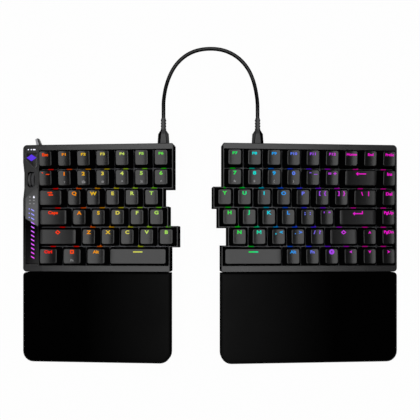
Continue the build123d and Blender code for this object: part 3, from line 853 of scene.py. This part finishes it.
# Control strip. A gloss black plate let into the frame, with a folded gloss cover round the lit
# diamond and a satin one in front of the wheel. Its lenses are clear acrylic, lit violet.
case_rear = 104.56
rim_height = 19.0
facet_slant = 0.99
facet_line = 232.5 * mm
facet_rear_y = 64.5 * mm
satin_sheen_y = 62 * mm
satin_sheen_growth = 50
strip_black = moulded("gloss strip", screen(9, 9, 10), 0.2, grain=2.0, relief=0.004, gloss=0.4)
strip_dark = moulded("satin strip", screen(20, 20, 21), 0.3, grain=0.3, relief=0.01, gloss=0.4)
strip_satin = moulded("satin strip cover", screen(98, 98, 100), 0.45, grain=0.3, relief=0.01)


def retone(material, share, low, high):
    # a surface's colours laid by a share of its own in place of its grain
    shades(share, low, high).feed(material.node_tree.nodes["Principled BSDF"], "Base Color")


def strip_sheen_share(upward, squarely, place):
    # the strip shines as the frame beside it does, with the same painted shade and painted sheen
    return brighter_forwards(place)


matte_painted_shade(strip_black, screen(7, 7, 8), strip_sheen_share)
panel_place = Wire(strip_dark.node_tree).make("ShaderNodeTexCoord", output="Object")
panel_y = panel_place.part("Y")
# painted light: the facet beside the panel's fold line is painted lighter, standing in for the lamp
# light that its tilt catches
facet = (panel_y - panel_place.part("X") * facet_slant > facet_line) * (1 - (panel_y > facet_rear_y))
facet_painted_light = facet * 0.8 + noise(panel_place, 0.3 * mm) * 0.2
retone(strip_dark, facet_painted_light, screen(16, 16, 17), screen(52, 52, 53))
cover_place = Wire(strip_satin.node_tree).make("ShaderNodeTexCoord", output="Object")
# painted light: the satin cover's colour lightens towards the front, a painted sheen
forwards = (satin_sheen_y - cover_place.part("Y")) * satin_sheen_growth
satin_sheen_tone = forwards + noise(cover_place, 0.3 * mm) * 0.1
retone(strip_satin, satin_sheen_tone, screen(38, 38, 39), screen(98, 98, 100))
dress(strip_dark, "control_panel")
satin_outline = ((13.3, 42.4), (15.3, 42.4), (15.3, 80.6), (2.7, 72.8), (2.7, 52.9))
gloss_outline = ((3.2, 8.2), (15.2, 8.2), (15.2, 21.0), (12.9, 23.6), (3.2, 14.3))
ridge_outline = ((3.0, 14.9), (3.9, 14.9), (13.6, 24.2), (13.2, 24.9))
front_outline = ((15.3, 81.2), (15.3, 118.5), (2.7, 118.5), (2.7, 73.4))
plate_outline = ((2.7, 1.2), (14.4, 1.2), (14.4, 7.6), (2.7, 7.6))


def strip_shell(mesh, outline, levels, peak):
    # a closed raised shape over an outline, each level drawn in by its first number
    middle = Vector((sum(x for x, _ in outline), sum(y for _, y in outline), 0)) / len(outline)
    rings = []
    for inset, height in levels:
        ring = []
        for x, y in outline:
            point = Vector((x, y, 0))
            point += (middle - point).normalized() * inset
            ring.append(Vector((point.x, case_rear - point.y, rim_height + height)))
        rings.append(ring)
    low = Vector((middle.x, case_rear - middle.y, rim_height + levels[0][1]))
    high = Vector((middle.x, case_rear - middle.y, rim_height + peak))
    close_rings(mesh, rings, low, high)


def strip_piece(name, mesh, material, sharp=5):
    mesh.transform(half_place("left"))
    bmesh.ops.recalc_face_normals(mesh, faces=mesh.faces)
    return finished_piece(name, mesh, material, "keyboard_halves", sharp)


def strip_cover(name, outline, rise, fold, material):
    # a thin cover of that rise, its top folded up to its middle by fold
    mesh = bmesh.new()
    levels = ((0, -0.3), (0, rise * 0.5), (0.35, rise), (1.4, rise + fold * 0.6))
    strip_shell(mesh, outline, levels, rise + fold)
    return strip_piece(name, mesh, material)


strip_cover("satin_strip_cover", satin_outline, 0.3, 0.05, strip_satin)
strip_cover("gloss_strip_cover", gloss_outline, 0.35, 0.5, strip_black)
strip_cover("indicator_plate", plate_outline, 0.12, 0.0, strip_dark)
strip_cover("front_strip_cover", front_outline, 0.15, 0.05, strip_black)
strip_cover("strip_ridge", ridge_outline, 0.5, 0.1, strip_satin)


def glowing(name, colour, strength, base=(200, 200, 205)):
    # clear acrylic lit from below in one colour
    material, shader, place = new_finish(name)
    cloud = noise(place, 1.2 * mm, 2.0)
    low = [value * 0.85 for value in screen(*colour)]
    shades(cloud, low, screen(*colour)).feed(shader, "Emission Color")
    shader.inputs["Emission Strength"].default_value = strength
    shades(cloud, [value * 0.8 for value in screen(*base)], screen(*base)).feed(shader, "Base Color")
    (cloud * 0.1 + 0.2).feed(shader, "Roughness")
    return material


def oval(x, y, width, depth):
    turns = [2 * pi * number / 16 for number in range(16)]
    spread = (width - depth) / 2
    return [
        (x + cos(turn) * depth / 2 + (spread if cos(turn) > 0 else -spread), y + sin(turn) * depth / 2)
        for turn in turns
    ]


def lens_piece(name, outlines, rise, material, node):
    # the lenses of one node, let into the strip and bevelled at the top
    mesh = bmesh.new()
    for outline in outlines:
        strip_shell(mesh, outline, ((0, -1.5), (0, rise - 0.12), (0.12, rise)), rise)
    piece = strip_piece(name, mesh, material, sharp=30)
    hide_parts(node)


def bar_finish():
    # bluish violet at the rear, turning to magenta further forwards
    material, shader, place = new_finish("bar light")
    along = place.part("Y")
    stops = (
        (0.0, screen(240, 40, 240)),
        (0.45, screen(215, 80, 250)),
        (0.72, screen(200, 100, 255)),
        (0.76, screen(150, 150, 255)),
    )
    ramp = along.make("ShaderNodeValToRGB", {"Fac": along * 18 + 0.24}, stops=stops)
    ramp.feed(shader, "Emission Color")
    shader.inputs["Emission Strength"].default_value = 1.0
    shader.inputs["Base Color"].default_value = (0.02, 0.02, 0.02, 1)
    (noise(place, 1.0 * mm) * 0.1 + 0.2).feed(shader, "Roughness")
    return material


indicator_y = 4.7
indicator_sizes = ((5.6, 1.3, 1.3), (8.6, 1.3, 1.3), (11.6, 2.9, 1.2))
indicators = [oval(x, indicator_y, width, depth) for x, width, depth in indicator_sizes]
indicator_light = glowing("indicator light", (235, 235, 255), 0.9)
lens_piece("indicator_lights", indicators, 0.25, indicator_light, "indicator_lenses")
emblem_x = 9.1
emblem_y = 12.9
emblem_reach = 5.0
emblem_half_depth = 3.4
emblem = (
    (emblem_x - emblem_reach, emblem_y),
    (emblem_x, emblem_y - emblem_half_depth),
    (emblem_x + emblem_reach, emblem_y),
    (emblem_x, emblem_y + emblem_half_depth),
)
emblem_light = glowing("emblem light", (85, 22, 238), 0.95, base=(10, 9, 14))
lens_piece("emblem_light", [emblem], 1.0, emblem_light, "emblem_lens")
bar_x = 10.1
bar_start = 64.8
bar_pitch = 4.25
bar_half = 1.6
bar_thick = 0.58
bar_slant = 0.9
bar_count = 12
dot_count = 3
dot_width = 1.2
bars = []
for number in range(bar_count):
    y = bar_start + number * bar_pitch
    bars.append(
        [
            (bar_x - bar_half, y - bar_slant - bar_thick),
            (bar_x + bar_half, y + bar_slant - bar_thick),
            (bar_x + bar_half, y + bar_slant + bar_thick),
            (bar_x - bar_half, y - bar_slant + bar_thick),
        ]
    )
    if number < dot_count:
        bars.append(oval(bar_x - 3.5, y - 1.3, dot_width, dot_width))
lens_piece("light_bars", bars, 0.5, bar_finish(), "light_bar_lens")

# Strip signs. Six small signs on the satin cover: five are printed in pale grey ink, and one is a
# clear window in the shape of a drop, lit white from below.
sign_columns = (7.3, 11.3)
sign_rows = (51.7, 55.0, 58.3)
sign_rise = 0.36
sign_mesh = bmesh.new()
for x in sign_columns:
    for y in sign_rows:
        if (x, y) != (sign_columns[1], sign_rows[0]):
            strip_shell(sign_mesh, oval(x, y, 1.9, 1.2), ((0, 0.1), (0, sign_rise)), sign_rise)
strip_print = moulded("strip print", screen(150, 150, 153), 0.5, grain=0.3)
strip_piece("strip_signs", sign_mesh, strip_print)
drop_rise = 0.38
drop_y = 52.0
drop = []
for number in range(12):
    turn = number * pi / 6
    along = cos(turn) * (1.7 if cos(turn) > 0.9 else 1.0)
    drop.append((sign_columns[1] + 0.9 * sin(turn), drop_y - along))
drop_mesh = bmesh.new()
strip_shell(drop_mesh, drop, ((0, 0.1), (0, drop_rise)), drop_rise)
strip_piece("strip_lit_sign", drop_mesh, glowing("lit sign", (240, 240, 255), 0.9))

# Scroll wheel. A nylon hub with a ribbed soft rubber tyre, half sunk in the strip; the tyre's sides
# and a band round its middle are painted shade, darker and matte.
wheel_spot = (8.4, 70.16, 20.0)
wheel_middle = (half_place("left") @ Vector(wheel_spot)).x
shaded_band_half = 0.5 * mm


def tread_share(upward, squarely, place):
    # the tyre shines on its tread, but for a band round its middle, which is painted shade
    aside = place.part("X") - wheel_middle
    return (upward - 0.1) * 4 * (aside.maths("ABSOLUTE", aside, 0) > shaded_band_half)


wheel_rubber = moulded("wheel rubber", screen(66, 66, 68), 0.42, grain=0.4, relief=0.02)
# painted shade: the tyre's sides and middle band take a darker matte copy
dress(matte_painted_shade(wheel_rubber, screen(20, 20, 21), tread_share), "scroll_wheel")

# Mode toggle and USB-C receptacles. The toggle is a nylon fin, pale grey outside and near black inside,
# that swings in the rear wall; the receptacles are drawn stainless steel shells, soldered to the
# circuit boards.
toggle_x = -170.1 * mm
toggle_y = 101.96 * mm
toggle_lean = 18.0


def pale_and_dark_faces(name, left, right):
    # pale grey on the fin's outer face and near black on its inner one
    material, shader, place = new_finish(name)
    across = place.part("X") - toggle_x + (place.part("Y") - toggle_y) * tan(radians(toggle_lean))
    shades(across > 0.1 * mm, left, right).feed(shader, "Base Color")
    (noise(place, 0.5 * mm) * 0.1 + 0.3).feed(shader, "Roughness")
    return material


dress(pale_and_dark_faces("toggle pale and dark faces", screen(170, 170, 175), screen(22, 22, 23)), "mode_toggle")
dress(
    moulded("drawn steel", screen(190, 190, 195), 0.3, grain=0.2, metal=1.0, stretch=(1, 0.05, 1)),
    "usb_c_receptacles",
)

# Palm rests. A moulded base under a foam cushion with a smooth leatherette skin, drawn tight over
# the foam and turned under at its edge, without a seam on top.
palm_rear = -21.54
palm_depth = 88.7
palm_base_top = 6.0
palm_swell = (
    (1.0, 6.0),
    (0.45, 6.4),
    (0.2, 7.0),
    (0.15, 9.0),
    (0.15, 13.0),
    (0.15, 16.6),
    (0.2, 17.3),
    (0.45, 18.0),
    (0.95, 18.55),
    (1.9, 18.95),
    (3.4, 19.2),
    (6.0, 19.33),
    (10.0, 19.43),
    (18.0, 19.5),
    (30.0, 19.5),
)
palm_top = 19.5
palm_widths = {"left": 147.41, "right": 175.57}
palm_front_radius = 10.5
palm_outer_radius = 3.5
palm_inner_radius = 0.4
side_bulge = 0.65
front_bulge = 0.6
unworn_x = 122.6 * mm
worn_sheen = 1.55
dress(
    moulded("palm base plastic", screen(30, 30, 32), 0.5, **case_grain),
    "left_palm_rest_base",
    "right_palm_rest_base",
)


def leatherette():
    material, shader, place = new_finish("palm rest leatherette")
    pores = place.make("ShaderNodeTexVoronoi", {"Vector": place, "Scale": 1 / (0.9 * mm)})
    fine = noise(place, 0.5 * mm)
    broad = noise(place, 40 * mm, 3.0)
    shades(broad * 0.7 + fine * 0.3, screen(2, 2, 3), screen(6, 6, 6)).feed(shader, "Base Color")
    (broad * 0.15 + fine * 0.1 + 0.45).feed(shader, "Roughness")
    bump = place.make("ShaderNodeBump", {"Height": pores + fine * 0.5, "Distance": 0.02 * mm})
    bump.feed(shader, "Normal")
    shader.inputs["Specular IOR Level"].default_value = 0.5
    return material


def oblique_tops(upward, squarely, place):
    # the soft sheen shows along the skin; from straight above a painted sheen grows towards the inner
    # side, and the sides are painted shade
    across = place.part("X")
    worn = (unworn_x - across.maths("ABSOLUTE", across, 0)) * worn_sheen
    return (upward > 0.7) * upward.maths("MAXIMUM", (0.8 - squarely) * 2, worn)


# painted shade and painted sheen: the skin takes a darker matte copy on its sides and, from straight
# above, away from the inner side
palm_skin = matte_painted_shade(leatherette(), screen(3, 3, 3), oblique_tops)
for side in ("left", "right"):
    mesh = bmesh.new()
    width = palm_widths[side]
    sign = 1 if side == "left" else -1
    middle = Vector((sign * width / 2, palm_rear - palm_depth / 2, 0))
    rings = []
    for inset, height in palm_swell:
        rear = [palm_inner_radius + inset / 4, palm_outer_radius + inset / 6]
        if side == "right":
            rear.reverse()
        radii = [palm_front_radius - inset / 4] * 2 + rear
        swell = max(0, 1 - inset / 8)
        wide = width - 2 * inset + 2 * side_bulge * swell
        deep = palm_depth - 2 * inset + front_bulge * swell
        ring = rounded_ring(wide, deep, radii, 12, 6)
        shift = middle + Vector((0, -front_bulge * swell / 2, height))
        rings.append([point + shift for point in ring])
    ends = [middle + Vector((0, 0, height)) for height in (palm_base_top, palm_top)]
    close_rings(mesh, rings, *ends)
    mesh.transform(half_place(side))
    body = f"{side}_palm_rest"
    cushion = finished_piece(f"{side}_palm_cushion", mesh, palm_skin, body, sharp=70)
    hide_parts(f"{side}_palm_rest_cushion")

# Desk and lamps. A white desk that keeps the keyboard's shadow, a large soft lamp overhead and a
# pale room that is white at the horizon and greyer above.
desk_size = 9.0
lamp_place = (-0.08, 0.2, 1.7)
lamp_size = 1.6
lamp_power = 23.6
room_light = 0.065
desk_glow_share = 0.97
horizon = 0.45
greyer_between = (0.6, 0.95)


def seen_directly(start):
    # 1 for rays from the picture and from mirrors, 0 for those that light the keyboard
    rays = start.make("ShaderNodeLightPath")
    camera_ray, glossy, through = (
        Wire(rays.tree, rays.socket.node.outputs[name])
        for name in ("Is Camera Ray", "Is Glossy Ray", "Is Transmission Ray")
    )
    return camera_ray + glossy + through > 0.5


desk_data = bpy.data.meshes.new("desk")
edge = desk_size / 2
corners = [(x * edge, y * edge, 0) for x, y in ((-1, -1), (1, -1), (1, 1), (-1, 1))]
desk_data.from_pydata(corners, [], [(0, 1, 2, 3)])
desk = bpy.data.objects.new("desk", desk_data)
bpy.context.scene.collection.objects.link(desk)
desk_finish, desk_shader, desk_place = new_finish("white desk")
desk_shader.inputs["Base Color"].default_value = (0.95, 0.95, 0.95, 1)
desk_shader.inputs["Roughness"].default_value = 0.8
glow = desk_place.make("ShaderNodeEmission", {"Color": (1, 1, 1, 1), "Strength": 1.0})
lit_share = seen_directly(desk_place) * desk_glow_share
surface = desk_place.make("ShaderNodeMixShader", {0: lit_share, 2: glow})
desk_tree = desk_finish.node_tree
desk_tree.links.new(desk_shader.outputs[0], surface.socket.node.inputs[1])
desk_tree.links.new(surface.socket, desk_tree.nodes["Material Output"].inputs["Surface"])
give(desk, desk_finish)

lamp_data = bpy.data.lights.new("overhead lamp", "AREA")
lamp_data.size = lamp_size
lamp_data.energy = lamp_power
lamp = bpy.data.objects.new("overhead lamp", lamp_data)
lamp.location = lamp_place
bpy.context.scene.collection.objects.link(lamp)

world = bpy.data.worlds.new("pale room")
world.use_nodes = True
world_tree = world.node_tree
room = Wire(world_tree)
ways = room.make("ShaderNodeTexCoord", output="Generated")
low_share = 1 - (ways.part("Z") > horizon)
overhead = shades(ways.part("Z"), (0, 0, 0), (1, 1, 1))
overhead_points = overhead.socket.node.color_ramp.elements
overhead_points[0].position, overhead_points[1].position = greyer_between
brightness = seen_directly(room) * low_share + overhead * room_light
backdrop = world_tree.nodes["Background"]
backdrop.inputs["Color"].default_value = (1, 1, 1, 1)
brightness.feed(backdrop, "Strength")
bpy.context.scene.world = world
